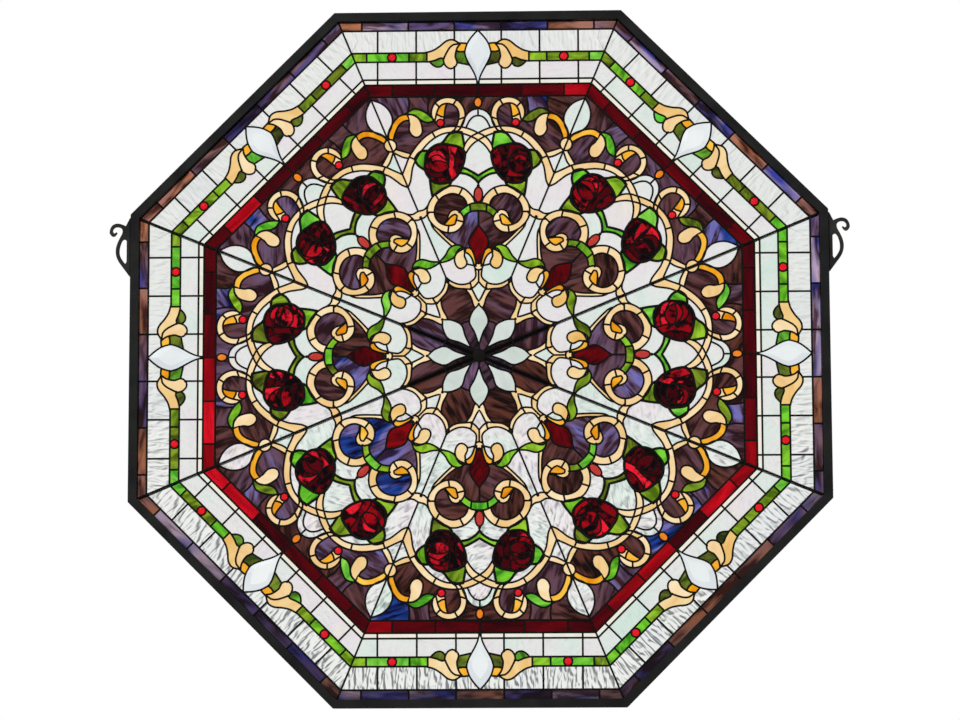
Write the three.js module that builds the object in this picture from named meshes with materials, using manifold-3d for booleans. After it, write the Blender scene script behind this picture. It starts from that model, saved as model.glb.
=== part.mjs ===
// Octagonal leaded glass window that hangs from two cast hangers on its upright rails.
// Millimetres, +Z up, the window's face towards -Y, the chain seats of the hangers at z = 0.

import * as THREE from 'three';
import { ConvexGeometry } from 'three/addons/geometries/ConvexGeometry.js';
import { mergeVertices } from 'three/addons/utils/BufferGeometryUtils.js';
import Module from 'manifold-3d';

const wasm = await Module();
wasm.setup();

// Frame, a channel of U section bent round the glass
const SIDES = 8;
const ACROSS_FLATS = 914;
const FRAME_FACE = 11.5;
const FRAME_DEPTH = 16;
const FRAME_WEB = 4;

// Widths of the bands of glass, from the frame inwards
const OUTER_BORDER = 12;
const OUTER_WHITE = 30;
const VINE_BAND = 12;
const INNER_WHITE = 24;
const CREAM_STRIP = 7;
const RUBY_BAND = 16;

// Glass and the solder lines over its joints
const GLASS = 3;
const BEAD_WIDTH = 3;
const BEAD_HEIGHT = 1;
const GAP = 0.3;
const BEVEL_GLASS = 5;
const BEVEL_WIDTH = 6;
const KITE_WIDTH = 35;
const KITE_SHOULDER = 0.4;
const HUB_ACROSS = 28;

// Reinforcing bars behind the glass, their backs just inside the frame's
const BAR_WIDTH = 4;
const BAR_INSET = 0.4;

// Hangers, cast brackets with an open scroll above a closed loop
const HANGER_HEIGHT = 78;
const HANGER_THICKNESS = 6;
const SEAT_BELOW_CORNER = 15.8;

const turn = 2 * Math.PI / SIDES;
const lean = Math.tan(turn / 2);
const outer = ACROSS_FLATS / 2;
const sight = outer - FRAME_FACE;
const borderLine = sight - OUTER_BORDER;
const vineTop = borderLine - OUTER_WHITE;
const vineFoot = vineTop - VINE_BAND;
const creamLine = vineFoot - INNER_WHITE;
const rubyLine = creamLine - CREAM_STRIP;
const field = rubyLine - RUBY_BAND;

const face = GLASS / 2;
const beadFoot = face + GAP;
const beadTop = beadFoot + BEAD_HEIGHT;
const clear = BEAD_WIDTH / 2 + GAP;
const barFace = beadTop + GAP;
const barDepth = FRAME_DEPTH / 2 - BAR_INSET - barFace;

// Geometry helpers. A plan is a list of [x, z]; a slab is a plan between two depths y.

function solid(geometry) {
  geometry.deleteAttribute('normal');
  geometry.deleteAttribute('uv');
  const merged = mergeVertices(geometry, 1e-4);
  return new wasm.Manifold(new wasm.Mesh({
    numProp: 3,
    vertProperties: merged.attributes.position.array,
    triVerts: new Uint32Array(merged.index.array),
  }));
}

function meshed(manifold) {
  const { vertProperties, triVerts } = manifold.getMesh();
  const geometry = new THREE.BufferGeometry();
  geometry.setAttribute('position', new THREE.BufferAttribute(vertProperties, 3));
  geometry.setIndex(new THREE.BufferAttribute(triVerts, 1));
  return geometry;
}

function outline(plan) {
  return new THREE.Shape(plan.map(([x, z]) => new THREE.Vector2(x, z)));
}

function slab(shape, front, back, curveSegments = 6) {
  const geometry = new THREE.ExtrudeGeometry(shape, {
    depth: back - front,
    bevelEnabled: false,
    curveSegments,
  });
  geometry.rotateX(Math.PI / 2);
  geometry.translate(0, back, 0);
  return geometry;
}

function turned(plan, angle) {
  return plan.map(([x, z]) => [
    x * Math.cos(angle) + z * Math.sin(angle),
    z * Math.cos(angle) - x * Math.sin(angle),
  ]);
}

function mirrored(plan) {
  return plan.map(([x, z]) => [-x, z]).reverse();
}

// A convex plan grown (or shrunk, with a negative distance) by the same distance on every side
function grown(plan, distance) {
  const count = plan.length;
  const side = (i) => {
    const [ax, az] = plan[i % count];
    const [bx, bz] = plan[(i + 1) % count];
    const length = Math.hypot(bx - ax, bz - az);
    return [(bz - az) / length, (ax - bx) / length];
  };
  const inside = THREE.ShapeUtils.isClockWise(plan.map(([x, z]) => ({ x, y: z }))) ? -1 : 1;
  return plan.map(([x, z], i) => {
    const [ax, az] = side(i + count - 1);
    const [bx, bz] = side(i);
    const scale = inside * distance / (1 + ax * bx + az * bz);
    return [x + scale * (ax + bx), z + scale * (az + bz)];
  });
}

// A solder line along a run of points, its ends carried on under the lines that they meet
function run(points, width = BEAD_WIDTH) {
  const half = width / 2;
  const count = points.length;
  const direction = (i) => {
    const [ax, az] = points[i];
    const [bx, bz] = points[i + 1];
    const length = Math.hypot(bx - ax, bz - az);
    return [(bx - ax) / length, (bz - az) / length];
  };
  const left = [];
  const right = [];
  points.forEach(([x, z], i) => {
    const [ax, az] = direction(Math.max(i - 1, 0));
    const [bx, bz] = direction(Math.min(i, count - 2));
    const scale = half / (1 + ax * bx + az * bz);
    const [sx, sz] = [-(az + bz) * scale, (ax + bx) * scale];
    const carry = i === 0 ? -half / 2 : i === count - 1 ? half / 2 : 0;
    left.push([x + sx + bx * carry, z + sz + bz * carry]);
    right.push([x - sx + bx * carry, z - sz + bz * carry]);
  });
  return [...left, ...right.reverse()];
}

function ringProfile(points) {
  const profile = points.map(([apothem, y]) => new THREE.Vector2(apothem / Math.cos(turn / 2), y));
  return new THREE.LatheGeometry([...profile, profile[0]], SIDES, turn / 2);
}

function ringLine(apothem, front, back, width = BEAD_WIDTH) {
  return ringProfile([
    [apothem - width / 2, front],
    [apothem + width / 2, front],
    [apothem + width / 2, back],
    [apothem - width / 2, back],
  ]);
}

function joined(list) {
  return list.reduce((all, next) => all.add(next));
}

function arc(centre, radius, from, to, steps) {
  return Array.from({ length: steps + 1 }, (_, i) => {
    const angle = THREE.MathUtils.degToRad(from + (to - from) * i / steps);
    return [centre[0] + radius * Math.cos(angle), centre[1] + radius * Math.sin(angle)];
  });
}

// Plans in hundredths of the field's half width, and of the white border's depth above the ruby line
function inField(...points) {
  return points.map(([x, z]) => [x * field / 100, z * field / 100]);
}

function inBorder(...points) {
  const depth = borderLine - rubyLine;
  return points.map(([x, z]) => [x * depth / 100, rubyLine + z * depth / 100]);
}

// Closed plans that cut right through the pane
function halfToWhole(half) {
  return [...half, ...mirrored(half).slice(1, -1)];
}

const kitePlan = halfToWhole([
  [0, rubyLine],
  [KITE_WIDTH / 2, vineTop],
  [KITE_WIDTH * KITE_SHOULDER, vineTop + OUTER_WHITE * KITE_SHOULDER],
  [0, borderLine],
]);
const diamondPlan = halfToWhole(inField([0, 5.8], [3.6, 13.4], [2.3, 17], [0, 19.2]));

// Lines of one half of a side, from its middle (x = 0) to the corner (x = lean * z)
const [scrollCentre] = inField([10.4, 56.3]);
const [[scrollRadius]] = inField([8.5, 0]);
const scrollArc = [-45, 250];
const [[flowerEnd]] = inBorder([90, 0]);

const kiteSide = KITE_WIDTH / 2 * CREAM_STRIP / (vineTop - rubyLine);
const level = (from, z) => [[from, z], [lean * z, z]];

const halfLines = [
  // Vine, cream strip and the flower beside the clear kite
  level(flowerEnd, vineTop),
  level(flowerEnd, vineFoot),
  level(kiteSide, creamLine),
  inBorder([20.5, 75], [44, 82], [90, 59]),
  inBorder([16.5, 36], [44, 29], [90, 42]),

  // Petals round the star, and the bud above them
  inField([0, 19.2], [3.8, 25.6], [12, 28.9]),
  inField([0, 35.7], [4.1, 42.4], [0, 49.6]),

  // Scroll round the purple pane
  inField([4.1, 42.4], [16.5, 50.5], [21.9, 52.8]),
  arc(scrollCentre, scrollRadius, ...scrollArc, 6),

  // Stem from the rose to the middle of the side
  inField([0, 67], [7.4, 70.7]),

  // Great arch, outer and inner line
  inField([0, 85], [8.7, 88.1], [19, 85], [29.6, 71.4]),
  inField([0, 83], [9, 86.3], [18.4, 82], [27, 65]),

  // Corner flower
  inField([41.4, 100], [32.8, 91.4], [34.9, 84.3]),
  inField([34.9, 84.3], [30.8, 91.5], [21.3, 85.5]),
];

// Lines on the corner's own axis
const cornerLines = [
  inField([12, 28.9], [34.9, 84.3]),
];

// Rose in one boss, with a leaf up to the arch and one down to the scroll
const rosePlan = inField([15, 81.5], [9, 87], [5.4, 78.4], [6, 72], [11, 66.3], [15, 61.8], [17.5, 66.8], [21, 73.5]);

function netLines(front, back) {
  const lines = [...halfLines.map((points) => run(points)), rosePlan];
  const middle = cornerLines.map((points) => run(points));
  return [...lines, ...lines.map(mirrored), ...middle].map((plan) => solid(slab(outline(plan), front, back)));
}

function allRound(manifold) {
  const one = meshed(manifold);
  const copies = Array.from({ length: SIDES }, (_, i) => solid(one.clone().rotateY(i * turn)));
  return joined(copies);
}

function ringBetween(inner, outside, depth) {
  return solid(ringLine((inner + outside) / 2, -depth, depth, outside - inner));
}

function through(plan) {
  return solid(slab(outline(plan), -beadTop, beadTop));
}

function closedLine(plan) {
  const shape = outline(grown(plan, BEAD_WIDTH / 2));
  shape.holes.push(outline(grown(plan, -BEAD_WIDTH / 2)));
  return solid(slab(shape, -beadTop, beadTop));
}

// Places on the corner's axis where the bands meet
const mitreIn = [lean * field, field];
const mitreRuby = [lean * rubyLine, rubyLine];
const mitreOut = [lean * borderLine, borderLine];
const edge = sight - GAP - BEAD_WIDTH / 2 * (Math.cos(turn / 2) + Math.sin(turn / 2));
const mitreEdge = [lean * edge, edge];

const hubSpoke = [[0, 0], diamondPlan[0]];
const hubPlan = (extra) => Array.from({ length: SIDES }, (_, i) => {
  const radius = (HUB_ACROSS / 2 + extra) / Math.cos(turn / 2);
  return turned([[0, radius]], (i + 0.5) * turn)[0];
});

// Lead net: the solder lines on the face, and those that part one group of panes from the next
function leadNet() {
  const whiteZone = ringBetween(rubyLine - BEAD_WIDTH / 2, borderLine + BEAD_WIDTH / 2, 2 * beadTop);
  const oneSide = joined([
    ...netLines(-beadTop, -beadFoot),
    closedLine(kitePlan).intersect(whiteZone),
    closedLine(diamondPlan),
    through(run(hubSpoke)),
    through(run([mitreIn, mitreRuby])),
    solid(slab(outline(run([mitreRuby, mitreOut])), -beadTop, -beadFoot)),
    through(run([mitreOut, mitreEdge])),
  ]);
  return joined([
    allRound(oneSide),
    through(hubPlan(0)),
    ...[borderLine, rubyLine, field].map((line) => solid(ringLine(line, -beadTop, beadTop))),
  ]).asOriginal().simplify(GAP / 10);
}

// Panes. Each keeps clear of the lines that bound its group by the same gap.
function paneOf(plan, ...cutters) {
  const pane = solid(slab(outline(plan), -face, face));
  return cutters.reduce((rest, cutter) => rest.subtract(cutter), pane);
}

function sidePane(inner, outside) {
  const room = clear / Math.cos(turn / 2);
  return meshed(paneOf([
    [-lean * inner + room, inner],
    [lean * inner - room, inner],
    [lean * outside - room, outside],
    [-lean * outside + room, outside],
  ]));
}

function cornerPane(inner, outside) {
  const kite = through(grown(kitePlan, clear));
  const nextKite = through(turned(grown(kitePlan, clear), turn));
  const [nextInner] = turned([[0, inner]], turn);
  const [nextOuter] = turned([[0, outside]], turn);
  return meshed(paneOf([
    [0, inner],
    [lean * inner, inner],
    nextInner,
    nextOuter,
    [lean * outside, outside],
    [0, outside],
  ], kite, nextKite));
}

function fieldPane() {
  const top = field - clear;
  const half = GAP / 2 / Math.cos(turn / 2);
  const plan = [[0, 0], [lean * top - half, top], [half - lean * top, top]];
  const diamond = through(grown(diamondPlan, clear));
  const spoke = through(run(hubSpoke, 2 * clear));
  return meshed(paneOf(plan, diamond, spoke, through(hubPlan(GAP))));
}

function kitePane() {
  const foot = grown(kitePlan, -clear);
  const crown = grown(kitePlan, -clear - BEVEL_WIDTH);
  return new ConvexGeometry([
    ...foot.map(([x, z]) => new THREE.Vector3(x, face, z)),
    ...foot.map(([x, z]) => new THREE.Vector3(x, -face, z)),
    ...crown.map(([x, z]) => new THREE.Vector3(x, face - BEVEL_GLASS, z)),
  ]);
}

function diamondPane() {
  return slab(outline(grown(diamondPlan, -clear)), -face, face);
}

// Frame channel: web outside, a lip over each face, the glass in the groove
function frameChannel() {
  const lip = face + GAP;
  const deep = FRAME_DEPTH / 2;
  const grooveFoot = outer - FRAME_WEB;
  return ringProfile([
    [sight, -deep],
    [outer, -deep],
    [outer, deep],
    [sight, deep],
    [sight, lip],
    [grooveFoot, lip],
    [grooveFoot, -lip],
    [sight, -lip],
  ]);
}

// Hanger outline in hundredths of its height, x out from the rail and z up from the chain seat
function hangerShape() {
  const unit = HANGER_HEIGHT / 100;
  const at = (x, z) => [x * unit, z * unit];
  const top = 15.5;
  const foot = top - 100;
  const shape = new THREE.Shape();
  shape.moveTo(...at(0, foot));
  shape.lineTo(...at(1.5, foot));
  shape.lineTo(...at(18.5, -61.7));
  shape.quadraticCurveTo(...at(25.3, -52), ...at(25.3, -41));
  shape.quadraticCurveTo(...at(25.3, -30), ...at(16.2, -14.6));
  shape.quadraticCurveTo(...at(10, -3), ...at(20.5, 0));
  shape.lineTo(...at(24.7, 0));
  shape.quadraticCurveTo(...at(30.3, -2), ...at(30.3, -7.4));
  shape.quadraticCurveTo(...at(28, -13), ...at(24.4, -8.3));
  shape.lineTo(...at(22.6, -9.9));
  shape.quadraticCurveTo(...at(27.5, -19.5), ...at(33, -14.6));
  shape.quadraticCurveTo(...at(36.5, -11), ...at(35.9, -7.4));
  shape.quadraticCurveTo(...at(34, 6), ...at(22.2, 6.2));
  shape.quadraticCurveTo(...at(16, 5.8), ...at(8.5, 1.7));
  shape.lineTo(...at(1.7, top));
  shape.lineTo(...at(0, top));
  const eye = new THREE.Path();
  eye.moveTo(...at(6.8, -23.9));
  eye.quadraticCurveTo(...at(11.5, -17.5), ...at(15.5, -26));
  eye.quadraticCurveTo(...at(20.5, -38), ...at(18.2, -48.5));
  eye.quadraticCurveTo(...at(14, -58), ...at(8.8, -62.6));
  eye.lineTo(...at(6.8, -58.9));
  shape.holes.push(eye);
  return shape;
}

function hanger() {
  const bracket = slab(hangerShape(), -HANGER_THICKNESS / 2, HANGER_THICKNESS / 2, 4);
  return bracket.translate(outer + GAP, 0, 0);
}

// Bars from corner to corner, one whole and one in two halves that meet it
function bar(from, to) {
  return new THREE.BoxGeometry(to - from, barDepth, BAR_WIDTH)
    .translate((from + to) / 2, barFace + barDepth / 2, 0);
}

const barReach = sight / Math.cos(turn / 2) - BAR_WIDTH / 2 * lean - GAP;
const barMeet = (BAR_WIDTH / 2 * (1 + Math.cos(turn)) + GAP) / Math.sin(turn);

// Materials
const finish = (color, roughness, metalness, opacity = 1) => new THREE.MeshStandardMaterial({
  color, roughness, metalness, opacity, transparent: opacity < 1,
});
const blackMetal = finish(0x1e201e, 0.45, 0.8);
const solder = finish(0x2a2620, 0.4, 0.9);
const brownGlass = finish(0x5a3a44, 0.15, 0, 0.85);
const whiteGlass = finish(0xdfe4e2, 0.15, 0, 0.8);
const rubyGlass = finish(0x7a0014, 0.1, 0, 0.85);
const clearGlass = finish(0xeaf2f4, 0.05, 0, 0.3);
const opalGlass = finish(0xe6e8e6, 0.15, 0, 0.8);

const window = new THREE.Group();
const seatUp = lean * outer - SEAT_BELOW_CORNER;

function place(name, geometry, material, angle = 0) {
  geometry.deleteAttribute('normal');
  geometry.deleteAttribute('uv');
  const mesh = new THREE.Mesh(mergeVertices(geometry, 1e-4), material);
  mesh.name = name;
  mesh.rotation.y = angle;
  window.add(mesh);
  return mesh;
}

place('frame', frameChannel(), blackMetal);
place('lead_net', meshed(leadNet()), solder);

const rightHanger = place('hanger_right', hanger(), blackMetal);
const leftHanger = place('hanger_left', hanger(), blackMetal);
rightHanger.position.z = seatUp;
leftHanger.position.z = seatUp;
leftHanger.rotation.z = Math.PI;

place('bar_long', bar(-barReach, barReach), blackMetal, turn / 2);
place('bar_short_right', bar(barMeet, barReach), blackMetal, -turn / 2);
place('bar_short_left', bar(-barReach, -barMeet), blackMetal, -turn / 2);

const outerPane = sidePane(borderLine + clear, outer - FRAME_WEB - GAP);
const whitePane = cornerPane(rubyLine + clear, borderLine - clear);
const rubyPane = sidePane(field + clear, rubyLine - clear);
const innerPane = fieldPane();
for (let side = 0; side < SIDES; side += 1) {
  const angle = side * turn;
  const label = side + 1;
  place(`outer_border_glass_${label}`, outerPane.clone(), brownGlass, angle);
  place(`white_border_glass_${label}`, whitePane.clone(), whiteGlass, angle);
  place(`ruby_border_glass_${label}`, rubyPane.clone(), rubyGlass, angle);
  place(`field_glass_${label}`, innerPane.clone(), opalGlass, angle);
  place(`bevelled_kite_${label}`, kitePane(), clearGlass, angle);
  place(`star_diamond_${label}`, diamondPane(), whiteGlass, angle);
}

window.position.z = -seatUp;

export default window;
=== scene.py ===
"""Octagonal leaded glass window: panes, solder lines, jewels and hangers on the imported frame."""

import math
import random

import bmesh
import bpy
from mathutils import Matrix, Vector
from mathutils.bvhtree import BVHTree
from mathutils.geometry import delaunay_2d_cdt, interpolate_bezier


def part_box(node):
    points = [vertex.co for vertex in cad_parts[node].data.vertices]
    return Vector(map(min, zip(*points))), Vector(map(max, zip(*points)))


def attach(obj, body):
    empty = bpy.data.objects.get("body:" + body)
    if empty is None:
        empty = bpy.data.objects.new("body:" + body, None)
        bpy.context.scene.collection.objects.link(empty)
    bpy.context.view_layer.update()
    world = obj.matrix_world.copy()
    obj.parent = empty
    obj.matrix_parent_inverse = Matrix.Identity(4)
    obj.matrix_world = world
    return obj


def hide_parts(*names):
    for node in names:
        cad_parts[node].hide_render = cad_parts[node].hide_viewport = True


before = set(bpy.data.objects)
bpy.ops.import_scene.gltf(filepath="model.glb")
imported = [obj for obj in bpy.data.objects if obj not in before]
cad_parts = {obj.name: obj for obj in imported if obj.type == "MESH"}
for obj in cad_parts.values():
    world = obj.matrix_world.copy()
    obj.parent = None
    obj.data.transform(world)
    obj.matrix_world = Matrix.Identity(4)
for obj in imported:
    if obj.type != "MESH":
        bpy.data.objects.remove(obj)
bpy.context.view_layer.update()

MM = 0.001
SIDES = 8
TURN = math.tau / SIDES
LEAN = math.tan(TURN / 2)
FRAME_LOW, FRAME_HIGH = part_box("frame")
CENTRE = (FRAME_LOW.z + FRAME_HIGH.z) / 2
OUTER = (FRAME_HIGH.z - FRAME_LOW.z) / 2 / MM

# Distances from the middle of the window to the straight lines of one side, in millimetres, and how far from
# the side's middle the tulips end
PANE_EDGE = OUTER - 5
BORDER_LINE = 433.5
VINE_TOP = 403.5
VINE_FOOT = 391.5
CREAM_LINE = 367.5
RUBY_LINE = 360.5
FIELD = 344.5
TULIP_END = 67.4

# Glass and solder, in millimetres. BEAD is half the width of a line of thickness 1, and JEWEL_AREA tells a
# jewel's own place from the ring of glass round it.
GLASS = 3.0
PANE_GAP = 0.35
SMALLEST_PANE = 5.0
BEAD = 1.3
BEAD_RISE = 1.8
JOINT = 1.12
LEAF_LINE = 1.35
PETAL_LINE = 0.85
ROSE_LINE = 1.5
PUDDLE_RISE = 2.75
HUB = 7.5
BOSS = 9
BOSS_RISE = 3.4
JEWEL_RISE = 3.4
JEWEL_AREA = 260
JEWEL_NEAR = 2

# How the lines are drawn: a run's own shift is taken by this share, and a carried line passes what it meets
EDGE_TO_LINE = 0.85
CURVE_STEP = 3.2
REACH = 3.0
SAMPLE_STEP = 2
ELLIPSE_STEPS = 20
MERGED = 0.02
CLOSED = 0.01

# Kites: where they are, the flat middle's share of the pane, how far it stands out, and the painted shade of
# its upper and lower facets
KITE_MIDDLE = 400
KITE_NEAR = 8
BEVEL_SHARE = 0.62
BEVEL_RISE = 2.0
UPPER_FACET_PAINTED_SHADE = 0.3
LOWER_FACET_PAINTED_SHADE = 0.9

# Chances: the seed, the sway of a border pane's grain, and the star's petals, which take no deep blue
SEED = 7
BAND_SWAY = 0.12
STAR_REACH = 100
STAR_TONES = 0.9

# Points of a CAD or hanger mesh that are nearer than this, in metres, are one
TOUCHING = 0.00001


# Lines of half a side: x from the side's middle, z out from the middle of the window.
# Each is a run of points, smoothed unless it has only two. A number at its end moves the line to the left
# of its own direction, because the run follows the glass's edge and not the middle of the solder.
STAR = [
    [(0, 13.5), (3, 23), (6.4, 32), (11, 40), (12.6, 45.5), (11, 52), (7, 60), (0, 67)],
    [(0, 5), (0, 14)],
    [(12.6, 45.3), (18.3, 44.2)],
    [(2.6, 60), (6, 67.5), (8.5, 76), (13, 84), (18, 89.3), -1.5],
    [(0, 71.5), (3, 76), (6, 82), (9, 88)],
    [(9, 88.3), (18, 89), (30, 90.3), (38, 95), (42.4, 100), -1.2],
    [(11, 96), (16, 94.5), (22, 93.8), (28, 94.6), (34, 97), (39, 100.2), (43, 103.8)],
    [(9, 88), (11, 96)],
    [(9, 88.3), (4.5, 92), (0, 97.5)],
    [(11, 96), (6, 99.5), (2.8, 105), (3.8, 115.4), -1.0],
]
FLEUR = [
    [(3.4, 120.6), (3.8, 124.8), (5, 130)],
    [(9, 140.2), (12.4, 142.4), (15.6, 142), (18.6, 140)],
    [(6.2, 119.6), (7.8, 126), (10.4, 131), (14, 134.8), (18.4, 137)],
    [(5.5, 118.5), (15.8, 121)],
    [(18, 141.4), (24, 141), (29, 134), (31, 127), (28, 118), (23, 115.5), (17, 119), (16, 124),
     (19.2, 131), (18, 139), 0.8],
    [(19, 141.5), (26, 145.6), (33, 144.6), (38, 141), (43.5, 131.5), (51, 123.3), 0.8],
    [(19, 142), (28, 137), (33.5, 129.5), (40, 126), (51, 123.3), -0.8],
    [(0, 122), (2.6, 125.4), (4.6, 129), (6.2, 134), (8.6, 139.6), (11.6, 144.6), (13, 150),
     (11.6, 155.6), (8, 162), (3.4, 168), (0, 173)],
    [(18.2, 142.6), (18.6, 137.6)],
    [(0, 172), (0, 192)],
]
SCROLL = [
    [(34, 144.7), (45, 155), (54, 164), (60, 171.6), (62.6, 181.6), -1.0],
    [(29.5, 146), (39, 153), (48, 161.5), (54.6, 168.6), (57.4, 174), 1.0],
    [(4.8, 199.8), (7, 207), (12, 214), (20, 220.5), (33, 224), (45, 221.3), (55, 214.5), (63, 204),
     (66.3, 193), (64.6, 182), (57, 172), (47, 165.3), (38, 163.5), (30, 165), (23, 171), (20, 178),
     (21, 184), (25.5, 190), 1.2],
    [(13.6, 198), (15.3, 204.5), (20.5, 211), (33, 215.6), (45, 212.6), (53.5, 205.5), (58.3, 195),
     (58, 185), (53, 176.6), (45, 172.2), (38, 171), (30.5, 173), (28.4, 178), (27, 184), -1.2],
    [(27, 184), (31, 187), (37, 183), (42, 177), (46, 172.6)],
    [(25, 190), (30, 192.6), (36.2, 190.4), (38.6, 186.6), (40.6, 180.5), (46, 172.8), 0.8],
    [(57, 214.4), (52, 206)],
    [(66.5, 190), (58.6, 190)],
    [(40, 163.5), (39, 171)],
    [(20, 177), (28, 179)],
    [(21, 221.4), (25, 213.6)],
    [(0, 201.3), (9, 200.3), (18, 195.2), (25.5, 189), 1.0],
    [(0, 192.3), (9, 191.6), (15, 188.7), (20.7, 183.5), -1.0],
    [(11.2, 199.5), (10.4, 191.4)],
    [(62.6, 203.6), (70, 193.4), (79, 190.6), 1.0],
    [(66.4, 189), (71, 184), (75.4, 182), -1.0],
]
ROSE_EDGE = [
    (18, 270), (25, 276.5), (36, 279.4), (50, 281), (60, 277), (68, 268), (69.6, 258), (69.8, 246),
    (65, 237), (57, 229.5), (45, 228.5), (36, 231), (28, 238), (22.5, 247), (18.5, 258),
]
PETALS = [
    [(27, 239), (31, 252), (30, 264), (25.6, 279)],
    [(35, 232), (39.5, 246), (38.5, 262), (41, 280)],
    [(38.6, 251), (44, 266), (53, 273.5), (63, 270), (67, 260), (64, 250), (54.6, 242.6)],
    [(39.4, 256.4), (47, 263), (54, 266.5), (61, 264), (67.6, 259.6)],
    [(38, 254), (48, 258), (56, 258.6), (66.6, 255.4)],
    [(38.5, 250), (47, 243.5), (58, 244), (73.4, 252.4)],
    [(36.6, 237.8), (46, 236.4), (58, 236.6), (71, 241.6)],
]
LEAVES = [
    [(17.5, 271), (20, 285), (22, 296), 0.8],
    [(22, 296), (32, 296.6), (39.5, 291.5), (45, 284), (49, 280.6), 0.8],
    [(63, 271.4), (74, 271), (79, 267.4), (83, 261), 0.8],
    [(83, 261), (78.5, 253), (66.6, 245), 0.8],
    [(36, 231), (38.5, 226), (47, 221), (55, 215.5), (60, 213), -0.8],
    [(60, 213), (61.5, 221), (63.6, 239), -0.8],
    [(0, 238.5), (5, 241.6), (11, 245), (17, 248), (23.5, 249.6)],
    [(0, 228.6), (3, 232.4), (9, 237.2), (16, 240.6), (27, 242.4)],
]
ARCHES = [
    [(-18.6, 270), (-18, 276.6), (-14.5, 284), (-8, 290.6), (0, 294.6), (8, 298.6), (18, 302),
     (30, 303.6), (40, 303.4), (50, 301.2), (60, 296.5), (70, 289.7), (78, 281.4), (85, 272), (90.4, 263),
     (94.6, 252), (99.2, 239.8), 0.9],
    [(-20.4, 263), (-16.6, 269), (-12.8, 275), (-7, 281.6), (0, 286.6), (8, 291), (18, 295), (26, 296.8),
     (35, 297.2), (45, 295.8), (55, 291.4), (65, 284), (72, 276.4), (78, 268.4), (83.4, 259), (87, 250),
     (88.6, 240), (90, 231), (92.9, 224.3), -0.9],
    [(56.6, 290), (60.6, 297)],
    [(82.6, 260.4), (90.8, 264)],
    [(86.4, 267), (100, 271), (109.5, 274), 0.8],
    [(90.6, 262.6), (99, 264.3), (113, 271.4), -0.8],
]
CORNER_FLEUR = [
    [(118, 288), (117.8, 295), (114.6, 303.4), (109.4, 312), (103.4, 318), (96, 320.2), (92, 319.8), -1.0],
    [(112.4, 287.5), (109.4, 298), (104.4, 307.6), (98, 312.6), (91, 314), 1.0],
    [(92.6, 320), (85, 319.4), (78.4, 314), (75, 305), (74.6, 296), (80, 291), (86, 293), (90, 300),
     (89.4, 308), (91, 314), -1.0],
    [(90.6, 313), (93.6, 321.4)],
    [(95, 321.6), (84, 327.6), (75, 325.4), (66, 320), (58.4, 312.6), -0.8],
    [(58.4, 312.6), (66, 310.4), (73, 312.4), (79, 317), (86, 321), (95, 321.6), -0.8],
    [(140.8, 340), (127, 334.6), (118, 326), (113.6, 315), (115, 304), (118.4, 296), (119, 288), -0.8],
    [(92.6, 323), (91, 334), (92, 344)],
    [(65, 316.6), (66, 332), (64, 344)],
]
TOP_SCROLL = [
    [(35, 296.2), (28.6, 298.4), (23.6, 303), (19.6, 311), (18, 321), (21.4, 332), (29, 339.6),
     (39, 342.4), (50, 340), (57.6, 333), (60.6, 324), (59.6, 316.6), (56.6, 312), (53, 309.4), 1.2],
    [(35, 297), (31, 300), (28.6, 304.6), (26.4, 311), (25.2, 321), (28.2, 329.4), (34.4, 334),
     (42, 335.2), (48, 333.4), (52, 329), (54.4, 323), (55.8, 317), (57, 311.6)],
    [(40.6, 336), (42.6, 331), (43.8, 325), (44.4, 318.6), (45.6, 311)],
    [(44.2, 317), (49, 317.8), (55.4, 321.6)],
    [(17.2, 316.8), (26.4, 313.4)],
    [(28.6, 340.4), (33, 333)],
    [(57, 336.6), (51, 330.4)],
    [(0, 327.6), (8, 325.4), (14, 320.4), (18.4, 312.4), (22.4, 303.4), 0.6],
    [(0, 319.2), (6, 317.8), (11.6, 312.4), (15.4, 305), (17, 301.6), -0.6],
    [(0, 319.2), (0, 327.6)],
]
TULIP = [
    [(0, BORDER_LINE), (8, 424.6), (14, 415.4), (17.6, 404)],
    [(17.6, 404), (15.4, 396), (11, 387), (6, 378), (2.2, 369), (0.6, RUBY_LINE)],
    [(14.6, 415), (20, 415.6), (24.6, 415.6), (33, 420.2), (41, 418.8), (50, 411.6), (59, 406),
     (TULIP_END, VINE_TOP), 0.8],
    [(17, 405), (23, 404.6), (28.8, 406)],
    [(24, 415.4), (27.4, 411), (29.6, 405), (30.4, 397), (28, 390), (31, 384.6), (36, 382.6), (41, 385),
     (44.2, 390), (45, 396), -0.8],
    [(23, 418), (25, 415.4), (32, 414.4), (37.4, 410), (41.6, 403), (45, 396)],
    [(45, 396), (49, 397), (56, 394.2), (62, 392.6), (TULIP_END, VINE_FOOT), -0.6],
    [(43.6, 392.2), (48.4, 386), (54.4, 385), (60, 388.4), (63.6, 392.4), -0.8],
    [(11, 386.6), (19, 388.4), (28.4, 390.4)],
    [(TULIP_END, VINE_TOP), (TULIP_END, VINE_FOOT)],
]
RINGS = [
    [(0, BORDER_LINE), (LEAN * BORDER_LINE, BORDER_LINE)],
    [(TULIP_END, VINE_TOP), (LEAN * VINE_TOP, VINE_TOP)],
    [(62, VINE_FOOT), (LEAN * VINE_FOOT, VINE_FOOT)],
    [(1.2, CREAM_LINE), (LEAN * CREAM_LINE, CREAM_LINE)],
    [(0, RUBY_LINE), (LEAN * RUBY_LINE, RUBY_LINE)],
    [(0, FIELD), (LEAN * FIELD, FIELD)],
]
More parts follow.
